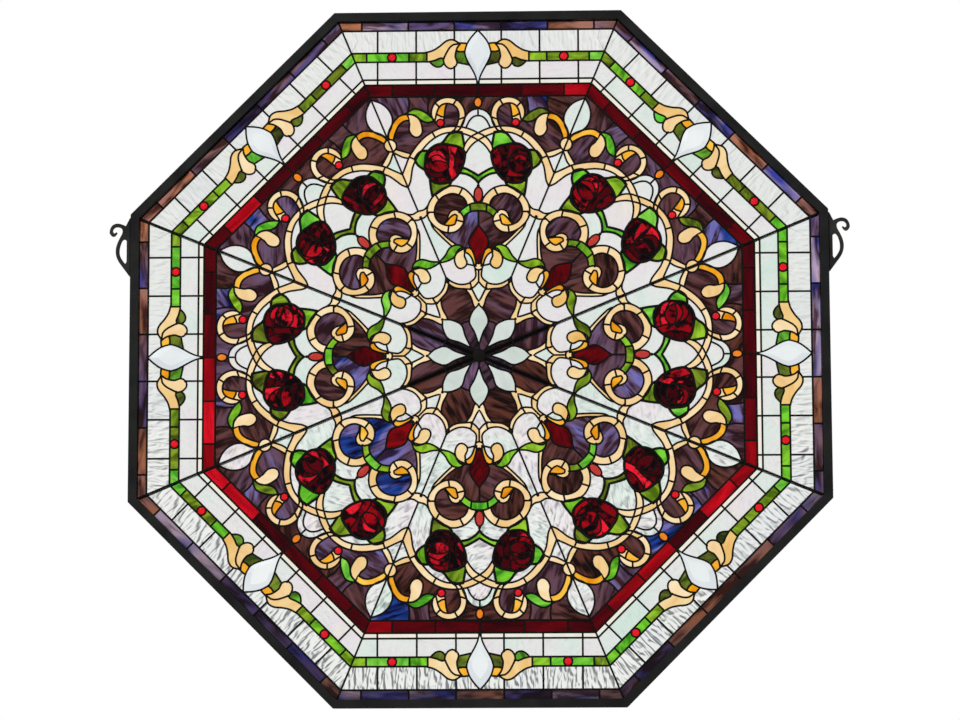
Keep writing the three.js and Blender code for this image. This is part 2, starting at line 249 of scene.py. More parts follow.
DIVIDERS = [
    (31, BORDER_LINE, PANE_EDGE), (92, BORDER_LINE, PANE_EDGE), (153.5, BORDER_LINE, PANE_EDGE),
    (31, 419.6, BORDER_LINE), (81.5, VINE_TOP, BORDER_LINE), (132.5, VINE_TOP, BORDER_LINE),
    (31, RUBY_LINE, 384), (81.5, RUBY_LINE, VINE_FOOT), (132.5, RUBY_LINE, VINE_FOOT),
    (91, VINE_FOOT, VINE_TOP), (147, VINE_FOOT, VINE_TOP),
    (57.5, FIELD, RUBY_LINE), (113.5, FIELD, RUBY_LINE),
]

# Lines on the axis of the side and on the axis of the corner, whose two halves are one line
SIDE_AXIS = [
    [(0, FIELD), (0, RUBY_LINE)],
    [(0, 97.5), (0, 113)],
    [(0, 222), (0, 229.4)],
]
CORNER_AXIS = [
    [(LEAN * FIELD, FIELD), (LEAN * PANE_EDGE, PANE_EDGE)],
    [(42.2, 101.9), (75.8, 183)],
    [(79, 190.6), (LEAN * FIELD, FIELD)],
]


def ellipse(x, z, wide, high):
    angles = [math.tau * i / ELLIPSE_STEPS for i in range(ELLIPSE_STEPS + 1)]
    return [(x + wide * math.cos(angle), z + high * math.sin(angle)) for angle in angles]


# Jewels: place, half width, half height and colour step of the jewel glass
ROUND_RED = 0.1
OVAL_ORANGE = 0.5
OVAL_PINK = 0.9
SIDE_JEWELS = [(0, 213, 5.5, 10, OVAL_PINK), (0, 336.2, 4.8, 6.6, OVAL_ORANGE)]
HALF_JEWELS = [(113.5, 397.5, 5.6, 5.6, ROUND_RED), (49.6, 309, 5, 5, ROUND_RED)]
KNOTS = [(0, 117.6, 5.4, 4.6)]
CORNER_KNOT = (LEAN * 279.2, 279.2, 8, 8.6)

# Puddles of solder: place and half width
PUDDLES = [
    (0, 362, 2.6), (0, 67.6, 2.0), (12.8, 45.4, 1.9), (10, 88.6, 1.9), (0, 122, 2.0), (18.4, 140.6, 1.9),
    (41.8, 100.9, 2.6), (25, 190, 1.9), (92.9, 224.6, 2.3), (76, 183, 2.0), (118.6, 289, 2.4), (22, 296, 2.2),
    (83, 261, 2.0), (0, 225, 2.2), (60, 213.4, 2.0), (31, 384, 1.8), (17.6, 404.4, 1.9), (45, 396, 1.8),
]

# What each pane is made of: runs of points that lie in panes of that glass
GLASSES = {
    "diamond": [[(0, 30), (0, 60)]],
    "spoke": [[(10, 24), (16, 39)]],
    "cream": [
        [(3, 70.5), (7.4, 80), (11, 86)], [(14, 92), (24, 91), (31, 92.6), (36, 96)],
        [(5.4, 96), (1.6, 100), (1, 110)], [(0, 117), (2, 117)],
        [(38, 149.4), (48, 158.6), (56, 167.6)],
        [(11, 206), (18, 215.6), (33, 219.8), (48, 215.6), (58, 205.6), (62, 195), (61.6, 183), (55, 174),
         (45, 168.6), (34, 168), (26, 173), (24, 180), (25, 187)],
        [(30, 190), (36, 187.4), (39.4, 182)],
        [(69, 190), (75, 186.4)],
        [(0, 290), (3, 290)], [(4, 293), (12, 296.6), (22, 299.6)], [(28, 300), (42, 299.6), (54, 295.6)],
        [(62, 291), (72, 282.6), (80, 272.6), (85.6, 263)], [(89, 258), (93, 246), (95, 236)],
        [(7, 287), (13, 280.6), (16.4, 274)],
        [(94, 266.6), (104, 269)], [(110, 278), (113, 283)],
        [(80, 296), (82, 305), (86, 315)],
        [(21.6, 307), (20.6, 320), (24, 331), (32, 338), (44, 339), (53.6, 333.6), (57.4, 325), (58, 318)],
        [(48.5, 315.6), (53, 317)],
        [(35, 402), (38, 396), (37, 389)],
    ],
    "pale_amber": [[(24, 120), (25, 128), (23, 138)], [(36, 416.6), (46, 408), (54, 401), (62, 398.6)]],
    "amber": [
        [(5.6, 126), (10, 133.4), (14.5, 138)], [(32, 178), (36, 180)],
        [(114, 295), (108.6, 307), (101, 316)], [(46, 322), (48, 330)], [(20, 410), (23, 410)],
    ],
    "green": [
        [(28, 141), (35, 137), (43, 129)], [(3, 197), (8, 196)], [(14, 193.6), (19, 189)],
        [(26, 291), (32, 287), (40, 284)], [(75, 266), (79, 261)], [(50, 223), (58, 220)],
        [(4, 236.6), (10, 241), (16, 244.2)], [(66, 315), (75, 319), (86, 324)],
        [(72, 397.5), (88, 397.5)], [(94, 397.5), (105, 397.5)], [(122, 397.5), (144, 397.5)],
        [(150, 397.5), (160, 397.5)],
    ],
    "olive": [[(20, 396), (27, 396)], [(52, 391), (57, 389)]],
    "bud": [[(2, 130), (5, 145), (2, 160)]],
    "purple": [
        [(30, 75), (36, 90), (24, 70)], [(14, 155), (20, 158)], [(6, 178), (12, 180)], [(30, 158), (40, 160)],
        [(30, 200), (45, 195), (50, 190)], [(24, 157), (34, 157)], [(95, 275), (100, 300), (96, 308)],
        [(86, 283), (104, 296)], [(31, 310), (30, 320), (36, 330)], [(6, 340), (14, 338), (16, 330)],
        [(62, 303), (70, 300)], [(70, 338), (82, 336)], [(100, 330), (112, 330)],
        [(125, 340), (108, 322)], [(62, 340), (63, 336)],
    ],
    "rose": [
        [(21, 262), (26, 250), (28, 244)], [(34, 240), (34, 262), (34, 276)], [(44, 276), (56, 279)],
        [(50, 252), (58, 250)], [(50, 259), (58, 260)], [(52, 269), (58, 270)], [(42, 262), (42, 268)],
        [(69, 262), (68, 254)], [(44, 240), (60, 240)], [(40, 233), (60, 233)], [(22, 270), (24, 264)],
    ],
}
# The glass of panes that hold no sample point, by how far out they lie
BANDS = [
    ("ruby", FIELD, RUBY_LINE), ("strip", RUBY_LINE, CREAM_LINE), ("milk", CREAM_LINE, VINE_FOOT),
    ("green", VINE_FOOT, VINE_TOP), ("ripple", VINE_TOP, BORDER_LINE), ("border", BORDER_LINE, PANE_EDGE),
]


# Placing: half a side is mirrored, and each side turned round the window
def placed(points, side, flip=False):
    cos, sin = math.cos(side * TURN), math.sin(side * TURN)
    sign = -1 if flip else 1
    return [Vector((sign * x * cos + z * sin, z * cos - sign * x * sin)) for x, z in points]


def everywhere(points, flips=(False, True)):
    """The places of the points on each side, and in both halves of it unless told otherwise."""
    return [spot for side in range(SIDES) for flip in flips for spot in placed(points, side, flip)]


def bent(start, first, last, end, steps):
    """The points after the start along a curve with the two control points."""
    curve = interpolate_bezier(start.to_3d(), first.to_3d(), last.to_3d(), end.to_3d(), steps + 1)
    return [Vector((p.x, p.y)) for p in curve[1:]]


def smooth(points):
    """A smooth run through the points, stepped finely enough to look round."""
    if isinstance(points[-1], float):
        return shifted(smooth(points[:-1]), points[-1] * EDGE_TO_LINE)
    given = [Vector(p) for p in points]
    if len(given) == 2:
        return given
    closed = (given[0] - given[-1]).length < CLOSED
    run = [given[0]]
    for i in range(len(given) - 1):
        start, end = given[i], given[i + 1]
        before = given[i - 1] if i else (given[-2] if closed else start)
        after = given[i + 2] if i + 2 < len(given) else (given[1] if closed else end)
        reach = (end - start).length / 3
        first = start + (end - before).normalized() * reach
        last = end - (after - start).normalized() * reach
        run += bent(start, first, last, end, max(1, round(3 * reach / CURVE_STEP)))
    return run


def shifted(run, aside):
    """The run moved to its own left by that distance."""
    moved = []
    for i, place in enumerate(run):
        ahead = (run[min(i + 1, len(run) - 1)] - run[max(i - 1, 0)]).normalized()
        moved.append(place + Vector((-ahead.y, ahead.x)) * aside)
    return moved


def carried(points):
    """The run with both ends carried on a little, so that it crosses the line that it meets."""
    if (points[0] - points[-1]).length < CLOSED:
        return points
    start = points[0] + (points[0] - points[1]).normalized() * REACH
    end = points[-1] + (points[-1] - points[-2]).normalized() * REACH
    return [start, *points[1:-1], end]


def half_lines():
    """Every line of half a side, with its thickness."""
    groups = (STAR, FLEUR, SCROLL, ARCHES, CORNER_FLEUR, TOP_SCROLL, TULIP)
    lines = [(run, 1.0) for group in groups for run in group]
    lines += [(run, LEAF_LINE) for run in LEAVES]
    lines += [(run, PETAL_LINE) for run in PETALS]
    lines += [([*ROSE_EDGE, ROSE_EDGE[0]], ROSE_LINE)]
    lines += [([(x, low), (x, high)], 1.0) for x, low, high in DIVIDERS]
    lines += [(ellipse(*jewel[:4]), 1.0) for jewel in HALF_JEWELS]
    return lines


def all_lines():
    """(run of points, thickness) of every solder line of the window."""
    lines = []
    halves = [(carried(smooth(run)), thick) for run, thick in half_lines()]
    halves += [(smooth(run), 1.0) for run in RINGS]
    axes = [(smooth(run), 1.0) for run in [*SIDE_AXIS, *CORNER_AXIS]]
    axes += [(smooth(ellipse(*jewel[:4])), 1.0) for jewel in SIDE_JEWELS]
    axes += [(smooth(ellipse(*knot)), 1.0) for knot in [*KNOTS, CORNER_KNOT]]
    for side in range(SIDES):
        for run, thick in halves:
            lines.append((placed(run, side), thick))
            lines.append((placed(run, side, flip=True), thick))
        for run, thick in axes:
            lines.append((placed(run, side), thick))
    lines.append((smooth(ellipse(0, 0, HUB, HUB)), 1.0))
    return lines


# The lines cut the window into panes: triangles between lines are gathered pane by pane
class Pane:
    def __init__(self, triangles, points):
        self.triangles = triangles
        self.area = 0.0
        self.middle = Vector((0, 0))
        for a, b, c in triangles:
            area = abs((points[b] - points[a]).cross(points[c] - points[a])) / 2
            self.area += area
            self.middle += area * (points[a] + points[b] + points[c]) / 3
        self.middle /= max(self.area, 1e-9)
        self.votes = {}

    def apothem(self):
        return max(
            self.middle.x * math.sin(side * TURN) + self.middle.y * math.cos(side * TURN)
            for side in range(SIDES)
        )

    def glass(self):
        if self.votes:
            return max(sorted(self.votes), key=self.votes.get)
        for name, low, high in BANDS:
            if low < self.apothem() < high:
                return name
        return "white"


def ordered(a, b):
    return (a, b) if a < b else (b, a)


def without_loose_ends(walls):
    """The points beside each point along the walls, once the ends that lead nowhere are cut off."""
    near = {}
    for a, b in walls:
        near.setdefault(a, set()).add(b)
        near.setdefault(b, set()).add(a)
    loose = [point for point in near if len(near[point]) == 1]
    while loose:
        point = loose.pop()
        if len(near[point]) == 1:
            other = near[point].pop()
            near[other].discard(point)
            loose.append(other)
    return near


def chained(near, walls, points):
    """(run of points, thickness) of each stretch of solder from one joint to the next."""
    used = set()
    runs = []
    for start in sorted(near, key=lambda point: (len(near[point]) == 2, point)):
        for second in sorted(near[start]):
            run = [start]
            following = second
            while following is not None:
                link = ordered(run[-1], following)
                if link in used:
                    break
                used.add(link)
                run.append(following)
                ahead = [p for p in near[following] if ordered(p, following) not in used]
                following = ahead[0] if len(near[run[-1]]) == 2 and ahead else None
            if len(run) > 1 and walls[ordered(run[0], run[1])]:
                runs.append(([points[i] for i in run], walls[ordered(run[0], run[1])]))
    return runs


def gathered(faces, walls):
    """The triangles of each pane: those that join with no wall between them."""
    beside = {}
    for index, face in enumerate(faces):
        for i in range(3):
            beside.setdefault(ordered(face[i], face[i - 1]), []).append(index)
    seen = set()
    for start in range(len(faces)):
        if start in seen:
            continue
        seen.add(start)
        queue, members = [start], []
        while queue:
            face = faces[queue.pop()]
            members.append(face)
            for i in range(3):
                edge = ordered(face[i], face[i - 1])
                if edge in walls:
                    continue
                for other in beside[edge]:
                    if other not in seen:
                        seen.add(other)
                        queue.append(other)
        yield members


def cut_panes(lines):
    """Returns the points, the panes between the lines, the stretches of solder and the joints."""
    points, edges, thicknesses = [], [], []
    rim = everywhere([(LEAN * PANE_EDGE, PANE_EDGE)], flips=(False,))
    for run, thick in [*lines, ([*rim, rim[0]], 0)]:
        first = len(points)
        points += run
        edges += [(i, i + 1) for i in range(first, len(points) - 1)]
        thicknesses += [thick] * (len(run) - 1)
    points, edges, faces, _, origins, _ = delaunay_2d_cdt(points, edges, [], 0, MERGED)
    walls = {
        ordered(*edge): max(thicknesses[i] for i in origin)
        for edge, origin in zip(edges, origins) if origin
    }
    near = without_loose_ends(walls)
    walls = {wall: thick for wall, thick in walls.items() if wall[1] in near[wall[0]]}
    solder = chained(near, walls, points)
    meetings = [i for i in sorted(near) if len(near[i]) > 2]
    joints = [points[i] for i in meetings if max(walls[ordered(i, j)] for j in near[i])]
    panes = [Pane(members, points) for members in gathered(faces, walls)]
    panes = [pane for pane in panes if pane.area > SMALLEST_PANE and pane.apothem() < PANE_EDGE]
    return points, panes, solder, joints


def choose_glass(points, panes):
    """Counts, for each pane, the sample points of each glass that lie in it."""
    triangles = [(face, pane) for pane in panes for face in pane.triangles]
    tree = BVHTree.FromPolygons([p.to_3d() for p in points], [face for face, _ in triangles])
    for name, runs in GLASSES.items():
        for run in runs:
            for start, end in zip(run, run[1:]):
                steps = max(1, round((Vector(end) - Vector(start)).length / SAMPLE_STEP))
                samples = [Vector(start).lerp(Vector(end), i / steps) for i in range(steps + 1)]
                for spot in everywhere(samples):
                    hit = tree.ray_cast(Vector((spot.x, spot.y, 1)), Vector((0, 0, -1)))
                    if hit[2] is not None:
                        pane = triangles[hit[2]][1]
                        pane.votes[name] = pane.votes.get(name, 0) + 1


# Making objects
def linked(name, data):
    made = bpy.data.objects.new(name, data)
    bpy.context.scene.collection.objects.link(made)
    return made


def kept(name, mesh, material, slot, *nodes):
    """A finished piece: its mesh moved to the window's middle, its finish and the CAD nodes it stands for."""
    mesh.name = name
    mesh.transform(Matrix.Translation((0, 0, CENTRE)))
    mesh.materials.clear()
    mesh.materials.append(material)
    piece = linked(name, mesh)
    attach(piece, "root")
    if nodes:
        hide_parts(*nodes)
    return piece


def from_bmesh(bm):
    mesh = bpy.data.meshes.new("made")
    bm.to_mesh(mesh)
    bm.free()
    return mesh


def pane_faces(bm, panes, points):
    """Each pane's flat face, kept apart from its neighbours and drawn in from the lead's middle."""
    tone = bm.faces.layers.float.new("tone")
    grain = bm.faces.layers.float.new("grain")
    for pane in panes:
        corners = {}
        for triangle in pane.triangles:
            for index in triangle:
                if index not in corners:
                    x, z = points[index]
                    corners[index] = bm.verts.new((x * MM, -GLASS / 2 * MM, z * MM))
            face = bm.faces.new([corners[index] for index in triangle])
            face[tone] = pane.tone
            face[grain] = pane.grain
    bm.normal_update()
    bmesh.ops.reverse_faces(bm, faces=[face for face in bm.faces if face.normal.y > 0])
    rim = bmesh.ops.inset_region(
        bm, faces=bm.faces[:], thickness=PANE_GAP * MM, use_even_offset=True, use_boundary=True
    )["faces"]
    bmesh.ops.delete(bm, geom=rim, context="FACES")


def thickened(bm):
    """The flat faces made solid, carried back by the thickness of glass. Returns the front faces."""
    front = bm.faces[:]
    back = bmesh.ops.extrude_face_region(bm, geom=front, use_keep_orig=True)["geom"]
    verts = [v for v in back if isinstance(v, bmesh.types.BMVert)]
    bmesh.ops.translate(bm, verts=verts, vec=(0, GLASS * MM, 0))
    bmesh.ops.recalc_face_normals(bm, faces=bm.faces[:])
    return front


def make_panes(name, panes, points, material, slot, nodes):
    bm = bmesh.new()
    pane_faces(bm, panes, points)
    thickened(bm)
    return kept(name, from_bmesh(bm), material, slot, *nodes)


def make_kites(panes, points, material):
    """Clear panes with a broad bevel all round the front, whose facets get a painted shade, darker on the
    lower ones.
    """
    bm = bmesh.new()
    pane_faces(bm, panes, points)
    bmesh.ops.dissolve_limit(
        bm, angle_limit=0.01, use_dissolve_boundaries=False, verts=bm.verts[:], edges=bm.edges[:]
    )
    tone = bm.faces.layers.float["tone"]
    for face in thickened(bm):
        face[tone] = 0.0
        rim = bmesh.ops.inset_individual(bm, faces=[face], thickness=0.01 * MM)["faces"]
        # Painted shade: each bevel facet gets a greyer tone, more on the lower facets than on the upper ones
        for facet in rim:
            below = face.calc_center_median().z > facet.calc_center_median().z
            facet[tone] = LOWER_FACET_PAINTED_SHADE if below else UPPER_FACET_PAINTED_SHADE
        about = Matrix.Translation(-face.calc_center_median_weighted())
        bmesh.ops.scale(bm, verts=face.verts, vec=(BEVEL_SHARE, 1, BEVEL_SHARE), space=about)
        bmesh.ops.translate(bm, verts=face.verts, vec=(0, -BEVEL_RISE * MM, 0))
    return kept("bevelled_kites", from_bmesh(bm), material, "clear_glass", *numbered("bevelled_kite"))


def add_spline(curve, places):
    spline = curve.splines.new("POLY")
    spline.points.add(len(places) - 1)
    for point, place in zip(spline.points, places):
        point.co = (*place, 1)
    return spline


def from_curve(curve):
    """The mesh of a curve, with its bevel."""
    carrier = linked("carrier", curve)
    graph = bpy.context.evaluated_depsgraph_get()
    mesh = bpy.data.meshes.new_from_object(carrier.evaluated_get(graph))
    bpy.data.objects.remove(carrier)
    return mesh


def make_solder(name, stretches, joints, material):
    """Rounded solder beads along the lines, with a bead at each joint, proud of both faces of the glass."""
    curve = bpy.data.curves.new(name, "CURVE")
    curve.dimensions = "3D"
    curve.bevel_depth = BEAD * MM
    curve.bevel_resolution = 2
    curve.use_fill_caps = True
    for run, thick in stretches:
        spline = add_spline(curve, [(x * MM, 0, z * MM) for x, z in run])
        for point in spline.points:
            point.radius = thick
    mesh = from_curve(curve)
    mesh.transform(Matrix.Diagonal((1, BEAD_RISE, 1, 1)))
    bm = bmesh.new()
    bm.from_mesh(mesh)
    bead = ball(8, 4)
    for joint in joints:
        add_copy(bm, bead, joint.x, joint.y, JOINT * BEAD, BEAD_RISE * BEAD, JOINT * BEAD)
    for face in bm.faces:
        face.smooth = True
    return kept(name, from_bmesh(bm), material, "solder", "lead_net")


def side_of(place):
    """The side of the window, from 0 at the top, that a place is nearest to."""
    return round(math.atan2(place.x, place.y) / TURN) % SIDES


def ball(around, up):
    """A round ball to be flattened and placed many times."""
    bm = bmesh.new()
    bmesh.ops.create_uvsphere(bm, u_segments=around, v_segments=up, radius=1)
    for face in bm.faces:
        face.smooth = True
    return from_bmesh(bm)


def add_copy(bm, shape, x, z, wide, rise, high, side=0):
    """A copy of the shape in the pane's plane, turned with its side of the window."""
    copy = shape.copy()
    copy.transform(
        Matrix.Translation((x * MM, 0, z * MM))
        @ Matrix.Rotation(side * TURN, 4, "Y")
        @ Matrix.Diagonal((wide * MM, rise * MM, high * MM, 1))
    )
    bm.from_mesh(copy)
    bpy.data.meshes.remove(copy)


def make_jewels(material):
    bm = bmesh.new()
    tone = bm.faces.layers.float.new("tone")
    jewels = [(jewel, side, False) for jewel in SIDE_JEWELS for side in range(SIDES)]
    halves = [(side, flip) for side in range(SIDES) for flip in (False, True)]
    jewels += [(jewel, side, flip) for jewel in HALF_JEWELS for side, flip in halves]
    cabochon = ball(20, 12)
    for (x, z, wide, high, step), side, flip in jewels:
        spot = placed([(x, z)], side, flip)[0]
        first = len(bm.faces)
        add_copy(bm, cabochon, spot.x, spot.y, wide - PANE_GAP, JEWEL_RISE, high - PANE_GAP, side)
        bm.faces.ensure_lookup_table()
        for face in bm.faces[first:]:
            face[tone] = step
    return kept("jewels", from_bmesh(bm), material, "jewel_glass")


def make_puddles(material):
    """Solder puddles where many lines meet, and the dark boss in the middle of the star."""
    bm = bmesh.new()
    add_copy(bm, ball(48, 16), 0, 0, BOSS, BOSS_RISE, BOSS)
    puddle = ball(12, 6)
    for x, z, wide in PUDDLES:
        for spot in everywhere([(x, z)], flips=(False, True) if x else (False,)):
            add_copy(bm, puddle, spot.x, spot.y, wide, PUDDLE_RISE, wide)
    return kept("solder_puddles", from_bmesh(bm), material, "solder")


# Hanger outline in hundredths of its height, x out from the rail and z up from the chain seat.
# A line has one point and a curve has its control point and its end.
HANGER_HEIGHT = 78
HANGER_THICKNESS = 6
HANGER_GAP = 0.3
HANGER_ROUND = 1.5
HANGER_STEPS = 10
HANGER_START = (0, -84.5)
HANGER_EDGE = [
    [(1.5, -84.5)], [(18.5, -61.7)], [(25.3, -52), (25.3, -41)], [(25.3, -30), (16.2, -14.6)],
    [(10, -3), (20.5, 0)], [(24.7, 0)], [(30.3, -2), (30.3, -7.4)], [(28, -13), (24.4, -8.3)],
    [(22.6, -9.9)], [(27.5, -19.5), (33, -14.6)], [(36.5, -11), (35.9, -7.4)], [(34, 6), (22.2, 6.2)],
    [(16, 5.8), (8.5, 1.7)], [(1.7, 15.5)], [(0, 15.5)],
]
LOOP_START = (6.8, -23.9)
LOOP_EDGE = [
    [(11.5, -17.5), (15.5, -26)], [(20.5, -38), (18.2, -48.5)], [(14, -58), (8.8, -62.6)], [(6.8, -58.9)],
]


def drawn(start, edge):
    """The outline as closely spaced points."""
    run = [Vector(start)]
    for part in edge:
        if len(part) == 1:
            run.append(Vector(part[0]))
            continue
        control, end = Vector(part[0]), Vector(part[1])
        run += bent(run[-1], run[-1].lerp(control, 2 / 3), end.lerp(control, 2 / 3), end, HANGER_STEPS)
    return run


def make_hanger(name, sign, material):
    """A cast bracket: its outline cut from plate, with all its edges well rounded."""
    curve = bpy.data.curves.new(name, "CURVE")
    curve.dimensions = "2D"
    curve.fill_mode = "BOTH"
    curve.extrude = (HANGER_THICKNESS / 2 - HANGER_ROUND) * MM
    curve.bevel_depth = HANGER_ROUND * MM
    curve.bevel_resolution = 3
    curve.offset = -HANGER_ROUND * MM
    unit = HANGER_HEIGHT / 100 * MM
    for start, edge in ((HANGER_START, HANGER_EDGE), (LOOP_START, LOOP_EDGE)):
        spline = add_spline(curve, [(x * unit, y * unit, 0) for x, y in drawn(start, edge)])
        spline.use_cyclic_u = True
    bm = bmesh.new()
    bm.from_mesh(from_curve(curve))
    bmesh.ops.remove_doubles(bm, verts=bm.verts[:], dist=TOUCHING)
    bmesh.ops.rotate(bm, verts=bm.verts[:], cent=(0, 0, 0), matrix=Matrix.Rotation(math.pi / 2, 3, "X"))
    bmesh.ops.translate(bm, verts=bm.verts[:], vec=((OUTER + HANGER_GAP) * MM, 0, -CENTRE))
    bmesh.ops.scale(bm, verts=bm.verts[:], vec=(sign, 1, 1))
    bmesh.ops.recalc_face_normals(bm, faces=bm.faces[:])
    for face in bm.faces:
        face.smooth = abs(face.normal.y) < 0.98
    return kept(name, from_bmesh(bm), material, "hanger_metal", name.replace("cast_", ""))


# Finishes
class Value:
    """A socket of a material's nodes that can be added, taken away and multiplied."""

    def __init__(self, finish, socket):
        self.finish = finish
        self.socket = socket

    def maths(self, operation, first, second):
        return self.finish.node("ShaderNodeMath", {"operation": operation}, {0: first, 1: second})

    def __add__(self, other):
        return self.maths("ADD", self, other)

    def __sub__(self, other):
        return self.maths("SUBTRACT", self, other)

    def __rsub__(self, other):
        return self.maths("SUBTRACT", other, self)

    def __mul__(self, other):
        return self.maths("MULTIPLY", self, other)

    __radd__ = __add__
    __rmul__ = __mul__


class Finish:
    """A material under one name, with its shader's plain numbers set on the shader itself."""

    def __init__(self, name, **plain):
        self.material = bpy.data.materials.new(name)
        self.material.use_nodes = True
        self.tree = self.material.node_tree
        self.shader = self.tree.nodes["Principled BSDF"]
        for socket, value in plain.items():
            self.shader.inputs[socket.replace("_", " ")].default_value = value

    def node(self, kind, settings=None, sockets=None, output=0):
        made = self.tree.nodes.new(kind)
        for name, value in (settings or {}).items():
            setattr(made, name, value)
        for key, value in (sockets or {}).items():
            self.feed(made.inputs[key], value)
        return Value(self, made.outputs[output])

    def feed(self, socket, value):
        if isinstance(value, Value):
            self.tree.links.new(value.socket, socket)
        else:
            socket.default_value = value

    def give(self, socket, value):
        self.feed(self.shader.inputs[socket], value)

    def place(self):
        return self.node("ShaderNodeTexCoord", output=3)

    def attribute(self, name):
        return self.node("ShaderNodeAttribute", {"attribute_name": name}, output=2)

    def axis(self, index):
        """One of the object coordinates: 0 across the window and 2 up."""
        return self.node("ShaderNodeSeparateXYZ", None, {0: self.place()}, output=index)

    def stretched(self, scale):
        """Object coordinates turned by the pane's own grain and stretched."""
        sockets = {"Vector": self.place(), "Angle": self.attribute("grain")}
        place = self.node("ShaderNodeVectorRotate", {"rotation_type": "Y_AXIS"}, sockets)
        return self.node("ShaderNodeMapping", None, {"Vector": place, "Scale": scale})

    def ranged(self, value, start, end, first, last, steps="LINEAR"):
        """From the first to the last number as the value goes from start to end, and no further."""
        sockets = {0: value, 1: start, 2: end, 3: first, 4: last}
        return self.node("ShaderNodeMapRange", {"interpolation_type": steps}, sockets)

    def noise(self, place, scale, detail=3.0, distortion=0.0):
        sockets = {"Vector": place, "Scale": scale, "Detail": detail, "Distortion": distortion}
        return self.node("ShaderNodeTexNoise", None, sockets)

    def ramp(self, value, stops, steps="LINEAR"):
        """The colour at the value, where each stop has its place from 0 to 1 and its colour in eye values."""
        shade = self.node("ShaderNodeValToRGB", None, {0: value})
        ramp = shade.socket.node.color_ramp
        while len(ramp.elements) < len(stops):
            ramp.elements.new(1)
        for element, (place, colour) in zip(ramp.elements, stops):
            element.position = place
            element.color = linear(colour)
        ramp.interpolation = steps
        return shade

    def mix(self, factor, first, second, blend="MIX"):
        settings = {"data_type": "RGBA", "blend_type": blend}
        return self.node("ShaderNodeMix", settings, {0: factor, 6: first, 7: second}, output=2)

    def ripples(self, stretch, strength, colour):
        """The height of hand-made ripples, and the colour given a painted shade on one slope of each ripple
        and a painted highlight on the other.
        """
        place = self.stretched(stretch)
        beside = self.node("ShaderNodeVectorMath", {"operation": "ADD"}, {0: place, 1: RIPPLE_STEP})
        waves, moved = (self.noise(spot, 2.6, detail=1.2, distortion=0.7) for spot in (place, beside))
        shade = self.ramp((moved - waves) * RIPPLE_SHADE_CONTRAST * strength + 0.5, RIPPLE_PAINTED_LIGHT_AND_SHADE)
        return waves, self.mix(1.0, colour, shade, blend="MULTIPLY")

    def bar_painted_shadow(self):
        """The painted shadow of the reinforcing bars: strongest over the two bars and fading to 0 beside
        them.
        """
        across = self.axis(0) * math.sin(TURN / 2)
        up = (self.axis(2) - CENTRE) * math.cos(TURN / 2)
        shades = []
        for aside in (up - across, up + across):
            away = self.node("ShaderNodeMath", {"operation": "ABSOLUTE"}, {0: aside})
            shades.append(self.ranged(away, BAR_CORE * MM, BAR_FADE * MM, BAR_SHADOW_STRENGTH, 0.0, "SMOOTHSTEP"))
        return shades[0].maths("MAXIMUM", *shades)

    def coloured(self, colour, height=None, strength=0.0, distance=0.0):
        """The material, given its colour and, where there is a height, its bumps."""
        self.give("Base Color", colour)
        if height:
            sockets = {"Height": height, "Strength": strength, "Distance": distance}
            self.give("Normal", self.node("ShaderNodeBump", None, sockets))
        return self.material


def linear(colour):
    """Eye values from 0 to 255 as light values, with full alpha."""
    return (*(((c / 255 + 0.055) / 1.055) ** 2.4 if c > 10 else c / 255 / 12.92 for c in colour), 1)


def glass(name, dark, light, contrast, fineness, scale, mingle=0.0):
    """Sheet glass: broad and fine streaks along each pane's own grain, in its dark and light shade."""
    finish = Finish(f"{name}_glass", Roughness=0.16, IOR=1.12, Transmission_Weight=1.0)
    tone = finish.attribute("tone")
    broad = finish.noise(finish.stretched(fineness), scale, detail=1, distortion=0.8)
    fine = finish.noise(finish.stretched(fineness), scale * 2.7, detail=3, distortion=0.5)
    streaks = (broad - 0.5) * contrast + (fine - 0.5) * (0.7 * contrast) + 0.5
    clear = finish.node("ShaderNodeClamp", None, {0: streaks})
    if mingle:
        drift = finish.noise(finish.stretched((5, 1, 14)), 2.6, detail=1, distortion=0.6)
        tone = tone + (drift - 0.5) * mingle
    colour = finish.mix(clear, finish.ramp(tone, dark), finish.ramp(tone, light))
    # Painted shade: the border glass darkens towards the bottom of the window
    if name == "border":
        low = finish.ranged(finish.axis(2), CENTRE + 0.15, CENTRE - 0.45, 0.0, 0.65)
        colour = finish.mix(low, colour, linear(BORDER_PAINTED_SHADE))
    # Painted shadow of the reinforcing bars behind the dark glass of the star
    if name in ("purple", "spoke"):
        colour = finish.mix(finish.bar_painted_shadow(), colour, linear(BAR_PAINTED_SHADOW))
    return finish.coloured(colour, finish.noise(finish.place(), 160, detail=2), 0.15, 0.0006)


def rippled_glass():
    """Clear glass with hand-made ripples, whose painted shade and highlight are faint in the upper part of
    the window and strong in the lower.
    """
    finish = Finish("rippled_clear_glass", Roughness=0.12, IOR=1.2, Transmission_Weight=1.0)
    # Painted shade: the ripples' painted shade and highlight grow stronger towards the bottom of the window
    low = finish.ranged(finish.axis(2), CENTRE, CENTRE - 0.42, 0.1, 0.9)
    pale = finish.ramp(
        finish.attribute("tone"), [(0.0, (232, 235, 234)), (0.5, (241, 241, 238)), (1.0, (236, 238, 234))]
    )
    waves, ripple_painted_shade = finish.ripples((66, 1, 20), low, pale)
    return finish.coloured(ripple_painted_shade, waves, 0.5, 0.0008)


